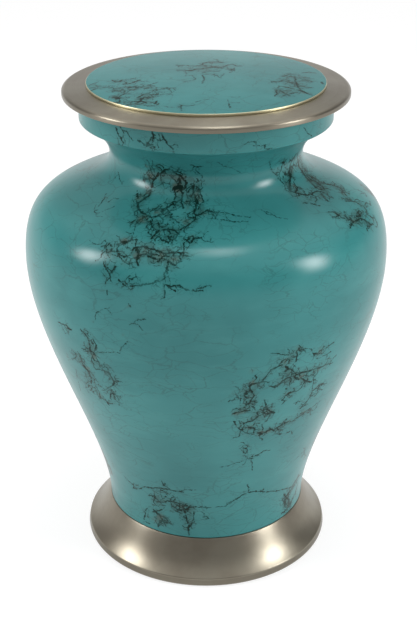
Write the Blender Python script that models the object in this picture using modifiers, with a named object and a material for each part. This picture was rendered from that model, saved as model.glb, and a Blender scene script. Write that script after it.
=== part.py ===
"""A lidded funeral urn on a flared foot, in metres, +Z up, origin under its middle.

Four turned pieces stand on one axis: a flared foot, a hollow vessel with a round shoulder,
a narrow neck and a wide collar, a lid plate that overhangs the collar, and a domed disc on
the plate. Each piece is a half outline on the XZ plane, turned about Z. An outline is a list
of (radius, height) points, with heights counted from the piece's own seat.
"""

import math

import bpy

STEPS = 60
SEAT_GAP = 0.0003
SHARP_ANGLE = math.radians(30)
WELD = 0.00001

# Pieces that each round stretch of an outline is cut into
FLARE_PIECES = 4
BODY_PIECES = 7
SHOULDER_PIECES = 6
NECK_PIECES = 5
COVE_PIECES = 4
EDGE_PIECES = 2
LID_EDGE_PIECES = 3
DOME_PIECES = 4

# Foot
FOOT_RADIUS = 0.0652
FOOT_HEIGHT = 0.0213
FOOT_WALL = 0.0022
LIP_HEIGHT = 0.0046
LIP_DRAFT = 0.0006
LIP_ROUND = 0.0018
RING_WIDTH = 0.0050
FLANGE_WIDTH = 0.0100
FLARE_FOOT_HANDLE = 0.0080
FLARE_TOP_HANDLE = 0.0070
FLARE_FOOT_SLOPE = math.radians(50)
FLARE_TOP_SLOPE = math.radians(57)

# Joint between the foot and the vessel
JOINT_RADIUS = 0.0525

# Vessel
WALL = 0.0020
FLOOR = 0.0025
BELLY_RADIUS = 0.0908
BELLY_RISE = 0.1416
BASE_HANDLE = 0.0375
BELLY_LOWER_HANDLE = 0.0424
BELLY_UPPER_HANDLE = 0.0227
SHOULDER_RADIUS = 0.0750
SHOULDER_RISE = 0.0325
SHOULDER_SLOPE = math.radians(26)
SHOULDER_OUTER_HANDLE = 0.0100
SHOULDER_INNER_HANDLE = 0.0140
NECK_RADIUS = 0.0474
NECK_RISE = 0.0199
NECK_HANDLE = 0.0085
COVE_NECK_HANDLE = 0.0081
COVE_EDGE_HANDLE = 0.0051
COVE_SLOPE = math.radians(20)
COLLAR_RADIUS = 0.0616
COLLAR_EDGE = 0.0006
COVE_RISE = 0.0173
COLLAR_RISE = 0.0285

# Lid plate
LID_RADIUS = 0.0693
LID_OVERHANG_THICKNESS = 0.0030
LID_PLATE_THICKNESS = 0.0022
LID_EDGE_HEIGHT = 0.0014
LID_EDGE_WIDTH = 0.0016
LID_FALL = 0.0011
PLUG_CLEARANCE = 0.0006
PLUG_WALL = 0.0018
PLUG_DEPTH = 0.0080

# Lid disc
DISC_RADIUS = 0.0577
DISC_EDGE = 0.0011
DISC_CROWN = 0.0019


def material(name, colour, roughness, metallic):
    """A plain material with one colour."""
    made = bpy.data.materials.new(name)
    made.use_nodes = True
    shader = made.node_tree.nodes["Principled BSDF"]
    shader.inputs["Base Color"].default_value = (*colour, 1.0)
    shader.inputs["Roughness"].default_value = roughness
    shader.inputs["Metallic"].default_value = metallic
    return made


def toward(point, slope, distance):
    """The point at a distance from another, at a slope above the outward direction."""
    return (point[0] + distance * math.cos(slope), point[1] + distance * math.sin(slope))


def bezier(start, start_handle, end_handle, end, pieces):
    """Points along a cubic curve, both ends included."""
    points = []
    for i in range(pieces + 1):
        t = i / pieces
        weights = ((1 - t) ** 3, 3 * (1 - t) ** 2 * t, 3 * (1 - t) * t**2, t**3)
        corners = (start, start_handle, end_handle, end)
        points.append(tuple(sum(w * corner[axis] for w, corner in zip(weights, corners)) for axis in (0, 1)))
    return points


def arc(centre, radius, first, last, pieces):
    """Points along an arc between two angles above the outward direction, both ends included."""
    return [
        toward(centre, first + (last - first) * i / pieces, radius)
        for i in range(pieces + 1)
    ]


def inset(outline, distance):
    """The outline moved towards its left, the metal side of one that runs up the outside."""
    moved = []
    for i, (radius, height) in enumerate(outline):
        before = outline[max(i - 1, 0)]
        after = outline[min(i + 1, len(outline) - 1)]
        length = math.dist(before, after)
        along = ((after[0] - before[0]) / length, (after[1] - before[1]) / length)
        moved.append((radius - distance * along[1], height + distance * along[0]))
    return moved


def without_repeats(outline):
    """The outline without points that fall on the one before."""
    kept = [outline[0]]
    for point in outline[1:]:
        if math.dist(point, kept[-1]) > WELD:
            kept.append(point)
    return kept


def turned(name, outline, is_loop, finish, collection, parent, height):
    """A solid of revolution from an outline that runs down its outer side."""
    outline = without_repeats(outline)
    mesh = bpy.data.meshes.new(name)
    edges = [(i, i + 1) for i in range(len(outline) - 1)]
    if is_loop:
        edges.append((len(outline) - 1, 0))
    mesh.from_pydata([(radius, 0.0, z) for radius, z in outline], edges, [])
    piece = bpy.data.objects.new(name, mesh)
    collection.objects.link(piece)

    screw = piece.modifiers.new("Turn", "SCREW")
    screw.axis = "Z"
    screw.steps = STEPS
    screw.render_steps = STEPS
    screw.use_merge_vertices = True
    screw.merge_threshold = WELD
    screw.use_normal_calculate = False

    solid = bpy.data.meshes.new_from_object(piece.evaluated_get(bpy.context.evaluated_depsgraph_get()))
    piece.modifiers.clear()
    piece.data = solid
    bpy.data.meshes.remove(mesh)
    solid.name = name
    solid.materials.append(finish)
    solid.shade_smooth()
    solid.set_sharp_from_angle(angle=SHARP_ANGLE)

    piece.parent = parent
    piece.location.z = height
    return piece


def foot_outline():
    """The flared skirt with its upright lip, its standing ring and the flange that carries the vessel."""
    lip_top = (FOOT_RADIUS - LIP_DRAFT, LIP_HEIGHT)
    joint = (JOINT_RADIUS, FOOT_HEIGHT)
    flare = bezier(
        lip_top,
        toward(lip_top, math.pi - FLARE_FOOT_SLOPE, FLARE_FOOT_HANDLE),
        toward(joint, -FLARE_TOP_SLOPE, FLARE_TOP_HANDLE),
        joint,
        FLARE_PIECES,
    )
    ring_inner = FOOT_RADIUS - RING_WIDTH
    flange_under = FOOT_HEIGHT - FOOT_WALL
    flange_hole = JOINT_RADIUS - FLANGE_WIDTH
    under = [point for point in inset(flare, FOOT_WALL) if point[1] < flange_under and point[0] < ring_inner]
    corner = inset(flare, FOOT_WALL)[-1][0]
    edge = arc((FOOT_RADIUS - LIP_ROUND, LIP_ROUND), LIP_ROUND, 0.0, -math.pi / 2, EDGE_PIECES)
    outer = [*reversed(flare), *edge]
    inner = [(ring_inner, 0.0), (ring_inner, LIP_HEIGHT), *under, (corner, flange_under), (flange_hole, flange_under)]
    return [(flange_hole, FOOT_HEIGHT), *outer, *inner]


def vessel_side():
    """The vessel's outer side from its base up to its rim."""
    base = (JOINT_RADIUS, 0.0)
    belly = (BELLY_RADIUS, BELLY_RISE)
    shoulder = (SHOULDER_RADIUS, BELLY_RISE + SHOULDER_RISE)
    neck = (NECK_RADIUS, shoulder[1] + NECK_RISE)
    body = bezier(
        base,
        toward(base, math.pi / 2, BASE_HANDLE),
        toward(belly, -math.pi / 2, BELLY_LOWER_HANDLE),
        belly,
        BODY_PIECES,
    )
    shoulder_round = bezier(
        belly,
        toward(belly, math.pi / 2, BELLY_UPPER_HANDLE),
        toward(shoulder, -SHOULDER_SLOPE, SHOULDER_OUTER_HANDLE),
        shoulder,
        SHOULDER_PIECES,
    )
    neck_curve = bezier(
        shoulder,
        toward(shoulder, math.pi - SHOULDER_SLOPE, SHOULDER_INNER_HANDLE),
        toward(neck, -math.pi / 2, NECK_HANDLE),
        neck,
        NECK_PIECES,
    )
    edge_centre = (COLLAR_RADIUS - COLLAR_EDGE, neck[1] + COVE_RISE)
    edge = arc(edge_centre, COLLAR_EDGE, COVE_SLOPE - math.pi / 2, 0.0, EDGE_PIECES)
    cove = bezier(
        neck,
        toward(neck, math.pi / 2, COVE_NECK_HANDLE),
        toward(edge[0], math.pi + COVE_SLOPE, COVE_EDGE_HANDLE),
        edge[0],
        COVE_PIECES,
    )
    rim = (COLLAR_RADIUS, neck[1] + COLLAR_RISE)
    return [*body, *shoulder_round[1:], *neck_curve[1:], *cove[1:], *edge[1:], rim]


def vessel_outline():
    """The wall between the vessel's two sides, with its floor and its flat rim."""
    outer = vessel_side()
    lining = inset(outer, WALL)
    floor_corner = (lining[0][0], FLOOR)
    inner = [(0.0, FLOOR), floor_corner, *[point for point in lining if point[1] > FLOOR + WALL]]
    return [*inner, *reversed(outer), (0.0, 0.0)]


def rim_height():
    """The vessel's rim above its base."""
    return BELLY_RISE + SHOULDER_RISE + NECK_RISE + COLLAR_RISE


def lid_plate_outline():
    """The plate with its rounded edge and the plain ring that drops into the mouth."""
    plug_outer = COLLAR_RADIUS - WALL - PLUG_CLEARANCE
    plug_inner = plug_outer - PLUG_WALL
    plate_under = LID_OVERHANG_THICKNESS + LID_FALL - LID_PLATE_THICKNESS
    top = LID_OVERHANG_THICKNESS + LID_FALL
    edge_top = (LID_RADIUS - LID_EDGE_WIDTH, LID_OVERHANG_THICKNESS)
    edge_side = (LID_RADIUS, LID_OVERHANG_THICKNESS - LID_EDGE_HEIGHT)
    edge = bezier(
        edge_top,
        (edge_top[0] + LID_EDGE_WIDTH / 2, edge_top[1] - LID_EDGE_HEIGHT / 8),
        (edge_side[0], edge_side[1] + LID_EDGE_HEIGHT / 2),
        edge_side,
        LID_EDGE_PIECES,
    )
    plug = [(plug_outer, 0.0), (plug_outer, -PLUG_DEPTH), (plug_inner, -PLUG_DEPTH), (plug_inner, plate_under)]
    return [(0.0, top), (DISC_RADIUS, top), *edge, (LID_RADIUS, 0.0), *plug, (0.0, plate_under)]


def lid_disc_outline():
    """The disc's shallow dome, its upright edge and its flat underside."""
    sphere = (DISC_RADIUS**2 + DISC_CROWN**2) / (2 * DISC_CROWN)
    reach = math.asin(DISC_RADIUS / sphere)
    centre = (0.0, DISC_EDGE + DISC_CROWN - sphere)
    dome = arc(centre, sphere, math.pi / 2, math.pi / 2 - reach, DOME_PIECES)
    return [(0.0, DISC_EDGE + DISC_CROWN), *dome[1:], (DISC_RADIUS, 0.0), (0.0, 0.0)]


def main():
    for old in list(bpy.data.objects):
        bpy.data.objects.remove(old)

    collection = bpy.data.collections.new("funeral_urn")
    bpy.context.scene.collection.children.link(collection)
    root = bpy.data.objects.new("urn_origin", None)
    collection.objects.link(root)

    pewter = material("pewter", (0.30, 0.28, 0.23), 0.35, 1.0)
    turquoise = material("turquoise_enamel", (0.07, 0.24, 0.23), 0.20, 0.0)
    base = FOOT_HEIGHT + SEAT_GAP
    mouth = base + rim_height() + SEAT_GAP
    plate_top = mouth + LID_OVERHANG_THICKNESS + LID_FALL + SEAT_GAP

    turned("foot", foot_outline(), True, pewter, collection, root, 0.0)
    turned("vessel", vessel_outline(), False, turquoise, collection, root, base)
    turned("lid_plate", lid_plate_outline(), False, pewter, collection, root, mouth)
    turned("lid_disc", lid_disc_outline(), False, turquoise, collection, root, plate_top)


main()
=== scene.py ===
"""The finish of a lidded funeral urn: turned enamelled and pewter pieces, a pale floor and soft light.

Each turned piece is a half outline swept round the urn's axis by one node tree. Outlines run up
the outer side, as (radius, height) points in metres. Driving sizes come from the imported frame.
"""

import math
import random

import bpy
import numpy as np
from mathutils import Matrix, Quaternion, Vector
from mathutils.bvhtree import BVHTree
from mathutils.kdtree import KDTree


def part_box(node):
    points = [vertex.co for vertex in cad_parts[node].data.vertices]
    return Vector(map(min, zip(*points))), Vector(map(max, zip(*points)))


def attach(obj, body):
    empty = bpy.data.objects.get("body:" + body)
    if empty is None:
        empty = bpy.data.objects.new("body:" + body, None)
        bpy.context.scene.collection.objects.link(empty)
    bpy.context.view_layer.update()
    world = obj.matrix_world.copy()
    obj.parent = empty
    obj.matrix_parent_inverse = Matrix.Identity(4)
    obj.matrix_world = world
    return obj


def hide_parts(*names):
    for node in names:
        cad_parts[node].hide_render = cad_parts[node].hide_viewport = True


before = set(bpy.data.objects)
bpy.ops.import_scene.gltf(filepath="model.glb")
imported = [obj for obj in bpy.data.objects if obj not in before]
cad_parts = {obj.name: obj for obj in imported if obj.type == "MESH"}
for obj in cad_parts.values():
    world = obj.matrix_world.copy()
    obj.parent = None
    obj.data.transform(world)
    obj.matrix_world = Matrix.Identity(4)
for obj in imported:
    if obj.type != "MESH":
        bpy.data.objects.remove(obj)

bl_info = {
    "name": "Funeral urn",
    "version": (1, 0, 0),
    "blender": (4, 5, 0),
    "location": "View3D > Sidebar > Urn",
    "description": "Builds the finished pieces of a lidded funeral urn and its studio",
    "category": "Object",
}

FOOT_LOW, FOOT_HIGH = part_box("foot")
VESSEL_LOW, VESSEL_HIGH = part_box("vessel")
PLATE_LOW, PLATE_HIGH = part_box("lid_plate")
DISC_LOW, DISC_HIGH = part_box("lid_disc")

# The photograph's frame in pixels, and the column in which the urn's axis lies
PHOTO_WIDTH = 417
PHOTO_HEIGHT = 635
AXIS_COLUMN = 206.2

# The gap between the lid plate and the rim, and the lid disc's height above the plate
SEAT_GAP = 0.0003
DISC_LIFT = 0.00004

# A traced bit of vein that is longer than this has jumped over an edge of the piece
LONGEST_BIT = 0.02

# How many of the nearest veins a face of a veined piece knows
NEAR_VEINS = 10

# Share of the veins' bits that grow a side shoot
SPROUT_CHANCE = 0.40

# Veined patches that the photograph doesn't show: azimuth in degrees from the camera's side, share of
# the way up the outline, spread in millimetres and number of strands
BODY_BACK_PATCHES = (
    (100, 0.62, 16, 14), (128, 0.30, 22, 22), (150, 0.74, 20, 20), (182, 0.50, 24, 26), (205, 0.18, 16, 14),
    (222, 0.70, 20, 18), (250, 0.38, 22, 20), (262, 0.60, 14, 12), (170, 0.96, 10, 7), (285, 0.12, 12, 9),
    (75, 0.14, 12, 8),
)

# Veins as read off the photograph: a width in millimetres, then the column and row of each point
UPPER_LEFT_VEINS = {
    "neck_strand": (1.0, (147, 160), (149, 162), (150, 168), (152, 174), (156, 177)),
    "neck_strand_beside": (0.7, (153, 161), (152, 167), (154, 172), (155, 177)),
    "neck_smoke": (1.6, (148, 174), (150, 178)),
    "loop_top": (
        1.3, (156, 177), (160, 174), (165, 170), (170, 169), (175, 173), (180, 175), (183, 179), (187, 183)
    ),
    "loop_top_beside": (0.8, (172, 172), (177, 171), (182, 174)),
    "loop_top_cell": (0.8, (160, 174), (164, 176), (166, 173), (163, 171)),
    "loop_left": (
        1.2, (156, 177), (153, 181), (152, 186), (151, 191), (149, 195), (145, 198), (141, 201), (138, 203)
    ),
    "loop_left_beside": (0.9, (137, 196), (141, 197), (145, 195), (148, 192), (151, 189)),
    "loop_left_outer": (0.7, (137, 191), (138, 197), (137, 202)),
    "loop_low_left": (1.5, (138, 203), (138, 208), (141, 211), (144, 214), (149, 216), (152, 218)),
    "loop_low_right": (
        1.3, (152, 218), (156, 216), (160, 215), (163, 214), (162, 209), (166, 208), (170, 206), (173, 204)
    ),
    "loop_right": (1.0, (173, 204), (174, 200), (176, 196), (175, 191)),
    "low_beside": (0.8, (155, 212), (159, 210), (162, 206)),
    "knot": (3.4, (175, 188), (178, 187), (181, 187)),
    "knot_top": (1.8, (178, 185), (180, 181), (179, 178)),
    "knot_spur_left": (0.9, (174, 189), (171, 191)),
    "knot_spur_right": (1.2, (181, 190), (183, 193), (182, 198), (181, 202), (183, 208)),
    "knot_spur_dot": (1.2, (186, 201), (188, 201)),
    "right_ring": (1.0, (191, 184), (194, 186), (193, 189), (192, 186)),
    "right_strand": (
        1.3, (192, 186), (193, 191), (195, 197), (197, 202), (196, 207), (194, 212), (196, 216)
    ),
    "right_outer": (0.8, (197, 187), (200, 191), (202, 197), (203, 202), (200, 205), (198, 209)),
    "right_inner": (0.6, (195, 197), (198, 195), (200, 199)),
    "right_return": (1.2, (196, 216), (201, 214), (206, 211), (213, 212)),
    "right_tail": (1.1, (196, 216), (194, 221), (190, 224), (185, 227), (180, 230)),
    "left_spur": (1.1, (132, 222), (135, 220), (139, 224), (142, 221), (143, 217)),
    "left_spur_end": (0.7, (131, 223), (128, 223)),
    "left_thread": (0.5, (135, 225), (135, 230), (132, 236), (131, 240)),
    "low_link": (0.6, (150, 221), (152, 226), (154, 230)),
    "middle_arc": (1.5, (151, 239), (155, 234), (159, 231), (164, 230), (169, 229), (175, 231), (178, 234)),
    "middle_ring_low": (0.8, (157, 236), (162, 240), (167, 242), (172, 240), (177, 236)),
    "middle_thread": (0.7, (158, 223), (159, 227), (165, 227), (168, 224)),
    "small_thread": (0.7, (173, 223), (175, 220), (179, 223)),
    "right_low_arc": (1.3, (184, 238), (187, 241), (190, 243), (192, 240), (195, 238), (199, 238)),
    "right_low_cell": (0.8, (187, 241), (189, 237), (193, 236), (195, 238)),
    "right_low_drop": (0.8, (184, 242), (184, 248), (184, 255)),
    "right_low_foot": (0.6, (180, 256), (184, 255), (189, 257)),
    "left_knot": (2.4, (122, 242), (126, 242)),
    "left_knot_arm": (0.9, (119, 244), (122, 242), (126, 241), (130, 241)),
    "left_ring": (0.8, (119, 245), (117, 250), (120, 255), (125, 257), (130, 255), (132, 251), (134, 248)),
    "cell_a": (0.6, (106, 248), (109, 244), (113, 247), (111, 252), (107, 253), (106, 248)),
    "cell_b": (0.6, (111, 252), (113, 256), (118, 256), (118, 250)),
    "cell_c": (0.5, (104, 240), (107, 243), (105, 247)),
    "band": (
        1.3, (134, 248), (139, 247), (145, 247), (150, 249), (157, 251), (165, 253), (175, 253), (184, 253)
    ),
    "band_low": (
        1.2, (137, 259), (140, 255), (145, 254), (151, 258), (157, 259), (164, 259), (169, 262), (174, 265)
    ),
    "band_low_end": (0.8, (174, 265), (178, 262), (181, 261)),
    "band_knot": (2.4, (136, 250), (139, 252)),
    "band_stem": (1.4, (139, 252), (138, 256), (137, 260), (138, 265)),
    "band_middle": (0.8, (139, 252), (145, 251), (150, 254), (156, 255), (162, 256), (170, 256)),
    "band_left": (0.8, (119, 257), (124, 261), (129, 264), (135, 262)),
    "band_cross_a": (0.6, (150, 249), (151, 254), (151, 258)),
    "band_cross_b": (0.6, (165, 253), (167, 257), (169, 262)),
    "band_cross_c": (0.6, (174, 253), (172, 258), (174, 265)),
    "band_cross_d": (0.6, (181, 253), (179, 257), (181, 261)),
    "outer_left_drop": (0.9, (103, 261), (106, 268), (109, 273), (111, 280)),
    "outer_left_beside": (0.6, (104, 264), (108, 268), (112, 273)),
    "long_thread": (
        0.9, (118, 280), (123, 284), (128, 286), (140, 285), (150, 284), (157, 281), (163, 284), (170, 286)
    ),
    "long_thread_on": (0.8, (170, 286), (175, 286), (180, 286), (188, 290), (195, 291), (203, 291)),
    "long_thread_fork": (0.8, (168, 287), (175, 291)),
    "long_thread_beside": (0.5, (122, 282), (130, 283), (138, 283)),
    "faint_left_a": (0.7, (106, 194), (103, 200), (99, 206)),
    "faint_left_b": (0.6, (108, 202), (114, 198), (119, 199)),
    "faint_left_c": (0.4, (96, 205), (94, 211), (97, 216), (103, 217)),
    "faint_left_d": (0.4, (118, 172), (119, 178), (122, 184)),
    "neck_right_thread": (0.4, (217, 162), (224, 166), (232, 168), (240, 172)),
    "neck_thread": (0.5, (190, 165), (196, 167), (203, 166)),
    "side_flecks": (0.6, (196, 178), (199, 182), (203, 180)),
    "faint_lens_high": (0.5, (205, 213), (215, 212), (226, 213), (238, 216), (250, 217)),
    "faint_lens_low": (0.5, (212, 218), (222, 220), (236, 222), (248, 221)),
    "faint_right_a": (0.4, (303, 203), (312, 204), (320, 206)),
    "faint_right_b": (0.5, (262, 210), (270, 213), (276, 217), (287, 219)),
    "ring_tail": (0.5, (198, 237), (205, 241), (212, 242)),
}
RIGHT_SHOULDER_VEINS = {
    "thick": (2.0, (290, 167), (290, 174), (290, 180), (290, 186), (290, 190)),
    "thick_top": (1.2, (296, 154), (293, 159), (291, 163), (290, 168)),
    "thick_beside": (0.7, (294, 160), (293, 166), (292, 171), (291, 177)),
    "thick_net": (0.8, (293, 182), (297, 187), (296, 191)),
    "hook": (0.8, (270, 161), (271, 170), (275, 174), (279, 175), (281, 170), (283, 163), (285, 158)),
    "hook_knot": (1.8, (282, 163), (284, 163)),
    "strand_a": (
        1.3, (298, 153), (298, 161), (299, 166), (302, 171), (305, 176), (309, 180), (312, 184), (316, 188)
    ),
    "strand_b": (
        0.9, (300, 155), (302, 162), (303, 166), (306, 171), (310, 175), (315, 181), (320, 185), (324, 189)
    ),
    "strand_c": (1.2, (308, 177), (312, 180), (316, 182), (320, 185), (324, 188)),
    "strand_d": (0.6, (302, 158), (305, 165), (309, 172), (313, 177), (319, 181)),
    "low_strand": (
        1.2, (291, 191), (296, 193), (301, 194), (307, 195), (312, 194), (316, 191), (319, 191), (323, 192)
    ),
    "low_strand_on": (1.2, (323, 192), (326, 194), (330, 197), (333, 198)),
    "low_spur": (1.4, (322, 195), (325, 199), (328, 201)),
    "low_spur_left": (0.8, (312, 197), (315, 198)),
    "right_strand": (
        1.2, (322, 183), (327, 184), (332, 185), (336, 186), (340, 188), (343, 191), (346, 195), (349, 198)
    ),
    "right_strand_on": (1.2, (349, 198), (351, 201), (355, 202), (359, 204), (362, 206)),
    "right_spur": (0.9, (345, 201), (351, 202)),
    "lower_chain": (0.8, (328, 212), (333, 212), (336, 214), (339, 215), (341, 217), (344, 218)),
    "lower_chain_knot": (1.6, (336, 214), (338, 215)),
    "lower_beside": (0.6, (335, 218), (339, 218)),
    "lower_link": (1.1, (349, 217), (352, 220), (354, 222), (350, 225)),
    "lower_arc": (1.4, (354, 222), (358, 220), (361, 219), (365, 220), (368, 222), (371, 225), (373, 224)),
    "cell_a": (1.1, (357, 214), (359, 210), (361, 212), (360, 216), (357, 217), (359, 214)),
    "cell_b": (0.9, (372, 214), (375, 219), (377, 224)),
    "cell_c": (0.8, (371, 216), (374, 221), (374, 223)),
    "small_ring": (0.7, (365, 204), (367, 202), (368, 206), (365, 206), (365, 204)),
    "dotted": (0.5, (360, 194), (365, 193), (366, 196)),
    "faint": (0.5, (303, 203), (309, 203), (316, 204)),
    "left_thread": (0.5, (283, 176), (286, 183), (289, 187)),
}
COLLAR_VEINS = {
    "left_strand": (1.1, (116, 128), (118, 133), (121, 138), (124, 143)),
    "left_strand_beside": (0.8, (120, 127), (124, 133)),
    "knot_a": (1.5, (138, 141), (140, 142)),
    "knot_b": (1.5, (148, 143), (150, 145)),
    "knot_link": (0.6, (140, 141), (144, 145), (148, 144)),
    "hook": (1.2, (152, 130), (154, 137), (152, 144), (147, 146)),
    "hook_right": (0.9, (162, 134), (164, 139), (168, 144), (173, 149), (178, 150)),
    "hook_cross": (0.6, (154, 137), (159, 140), (164, 139)),
    "thread": (0.4, (254, 146), (262, 146), (268, 144)),
    "right_thread": (0.7, (304, 128), (308, 133), (312, 136), (310, 140)),
}
LOWER_RIGHT_VEINS = {
    "arc_start": (1.4, (249, 386), (253, 384), (257, 383), (261, 382)),
    "upper_arc": (
        1.1, (261, 382), (263, 380), (265, 378), (268, 374), (271, 370), (275, 368), (279, 366), (282, 365)
    ),
    "arc_branch": (0.6, (261, 382), (265, 382), (270, 382)),
    "upper_knot": (1.7, (286, 367), (289, 369)),
    "upper_knot_arm": (0.6, (289, 369), (293, 369), (294, 373)),
    "high_knot": (0.8, (296, 361), (297, 355), (297, 351), (299, 348), (301, 352)),
    "high_knot_beside": (0.6, (299, 345), (303, 350), (300, 354)),
    "high_left": (0.5, (271, 353), (280, 354), (288, 355), (292, 352)),
    "high_net": (0.7, (284, 363), (287, 360), (290, 358), (288, 364)),
    "ridge": (
        1.5, (294, 378), (296, 375), (301, 373), (305, 372), (310, 371),
        (314, 369), (318, 368), (322, 367), (325, 365)
    ),
    "ridge_end": (0.7, (325, 365), (329, 364), (333, 362)),
    "ridge_knot": (1.6, (295, 378), (299, 379)),
    "ridge_tail": (1.1, (302, 379), (305, 381), (308, 381), (311, 382)),
    "ridge_drop": (0.6, (314, 371), (314, 377), (313, 383), (312, 390)),
    "ridge_net": (0.6, (305, 375), (309, 376), (312, 374), (316, 376)),
    "thick_start": (0.9, (271, 386), (275, 387)),
    "thick": (2.1, (275, 387), (279, 384), (282, 382)),
    "thick_end": (1.1, (282, 382), (285, 379), (288, 378), (291, 377)),
    "thick_spur": (0.7, (283, 375), (282, 379)),
    "left_cell": (1.5, (286, 395), (289, 393), (291, 392)),
    "left_cell_low": (1.0, (282, 400), (284, 398), (286, 395)),
    "left_cell_dot": (1.1, (286, 388), (287, 389)),
    "ring": (0.7, (291, 392), (296, 391), (300, 389), (303, 385), (305, 381)),
    "right_strand": (
        1.0, (327, 383), (322, 384), (318, 386), (315, 389), (312, 392),
        (310, 397), (307, 401), (303, 405), (300, 409)
    ),
    "right_beside": (0.6, (296, 404), (298, 401), (301, 402), (303, 405)),
    "right_fork": (0.6, (322, 390), (318, 388), (315, 389)),
    "low_strand": (
        1.0, (277, 427), (282, 425), (287, 422), (293, 421), (298, 417), (302, 415), (306, 411), (311, 408)
    ),
    "low_strand_end": (0.6, (311, 408), (316, 404), (320, 401)),
    "low_strand_knot": (1.2, (285, 423), (290, 421)),
    "low_net": (0.8, (270, 428), (274, 431), (277, 427), (279, 431)),
    "low_thread": (0.7, (275, 434), (280, 434), (286, 433), (291, 431), (293, 434)),
    "low_knot": (2.4, (258, 433), (262, 434)),
    "low_knot_arm": (1.2, (262, 434), (267, 431), (272, 429)),
    "low_knot_drop": (0.7, (259, 434), (260, 438), (263, 440)),
    "middle_drop": (1.2, (265, 400), (266, 405), (267, 409), (270, 411), (273, 413)),
    "middle_knot": (2.0, (271, 412), (274, 413)),
    "middle_net": (0.8, (260, 409), (263, 411), (266, 408), (268, 414)),
    "low_arc": (1.2, (243, 424), (247, 422), (252, 421), (256, 418), (259, 416), (264, 414), (269, 414)),
    "left_cluster": (1.3, (234, 414), (239, 412), (244, 411), (250, 410)),
    "left_cluster_high": (1.0, (243, 408), (246, 405), (249, 403), (252, 399), (254, 395), (252, 392)),
    "left_dots": (1.2, (244, 395), (248, 393)),
    "left_stem": (0.9, (250, 386), (250, 390), (252, 393)),
    "left_net_a": (0.6, (240, 403), (241, 398), (244, 395)),
    "left_net_b": (0.6, (249, 403), (253, 404), (257, 402)),
    "left_net_c": (0.7, (233, 410), (237, 408), (241, 410)),
    "corner_a": (0.8, (234, 421), (236, 425), (239, 429), (242, 430)),
    "corner_b": (0.7, (239, 421), (241, 425), (239, 429)),
    "corner_knot": (1.8, (248, 427), (252, 428)),
    "corner_c": (0.7, (246, 425), (250, 428), (255, 428), (254, 433)),
    "corner_d": (0.6, (242, 430), (246, 433), (252, 434)),
    "small_loop": (0.8, (243, 448), (247, 449), (247, 453), (243, 453), (243, 448)),
    "bottom_thread": (0.9, (252, 456), (258, 455), (264, 451), (270, 450)),
    "vertical_thread": (0.5, (250, 457), (252, 463), (252, 470)),
    "right_smoke": (0.9, (312, 353), (318, 354), (320, 351), (324, 349), (328, 346), (334, 342)),
    "right_smoke_low": (0.6, (316, 359), (321, 357), (327, 354), (331, 352)),
}
LOWER_LEFT_VEINS = {
    "edge_thread": (1.0, (58, 322), (62, 324), (66, 325), (69, 328)),
    "edge_knot": (1.7, (68, 328), (71, 330)),
    "edge_net": (0.6, (63, 329), (65, 333), (69, 334)),
    "strand_high": (1.2, (81, 330), (84, 333), (87, 337), (89, 341), (90, 345), (90, 351)),
    "strand_high_knot": (1.6, (90, 347), (90, 351)),
    "strand_beside": (0.6, (85, 330), (88, 332), (88, 336)),
    "twig": (0.8, (93, 339), (94, 342), (96, 345)),
    "twig_on": (0.6, (96, 345), (95, 350), (94, 355)),
    "knot_link": (0.8, (90, 351), (92, 355), (93, 358)),
    "knot": (1.9, (93, 357), (94, 360)),
    "knot_net": (0.5, (94, 360), (99, 362), (101, 366), (104, 364)),
    "left_net": (0.9, (72, 359), (75, 358), (77, 356), (75, 353)),
    "strand": (1.3, (78, 352), (80, 355), (81, 359), (82, 362), (83, 365)),
    "strand_thick": (2.3, (84, 366), (86, 369), (88, 371)),
    "strand_low": (1.2, (88, 371), (90, 375), (91, 378), (91, 383)),
    "strand_beside_low": (0.6, (85, 374), (88, 380), (89, 387)),
    "cells_a": (0.6, (88, 386), (91, 385), (93, 388), (90, 390), (88, 386)),
    "cells_b": (0.6, (93, 388), (96, 386), (96, 391), (92, 392)),
    "ring_dots": (0.8, (96, 369), (99, 369), (102, 370), (105, 371)),
    "ring_head": (1.5, (107, 372), (109, 373)),
    "ring": (1.1, (109, 373), (111, 376), (113, 380), (114, 383)),
    "ring_knot": (1.5, (114, 382), (113, 385)),
    "ring_low": (0.6, (113, 385), (110, 387), (106, 389), (102, 390)),
    "ring_twig": (0.5, (108, 369), (111, 371), (112, 375)),
    "ring_thread": (0.4, (114, 381), (118, 381), (122, 382)),
    "low_stem": (0.8, (97, 387), (99, 392), (100, 396)),
    "low_knot": (1.9, (100, 396), (101, 398)),
    "low_drop": (0.8, (105, 399), (107, 402), (109, 405)),
    "drop_a": (1.1, (112, 390), (111, 395), (111, 399)),
    "drop_b": (0.8, (113, 391), (114, 395), (115, 399)),
    "drop_c": (0.6, (115, 394), (118, 397), (119, 400)),
    "outer": (0.5, (76, 370), (77, 377), (79, 385), (81, 391)),
    "faint_arc": (0.4, (95, 319), (96, 312), (103, 309), (110, 308)),
    "faint_a": (0.4, (130, 325), (137, 320), (145, 319)),
    "faint_b": (0.35, (91, 352), (103, 352), (120, 353)),
    "faint_c": (0.4, (120, 351), (122, 347), (125, 344), (128, 341)),
    "faint_d": (0.6, (107, 290), (107, 295)),
    "faint_e": (0.6, (128, 304), (130, 307)),
}
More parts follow.
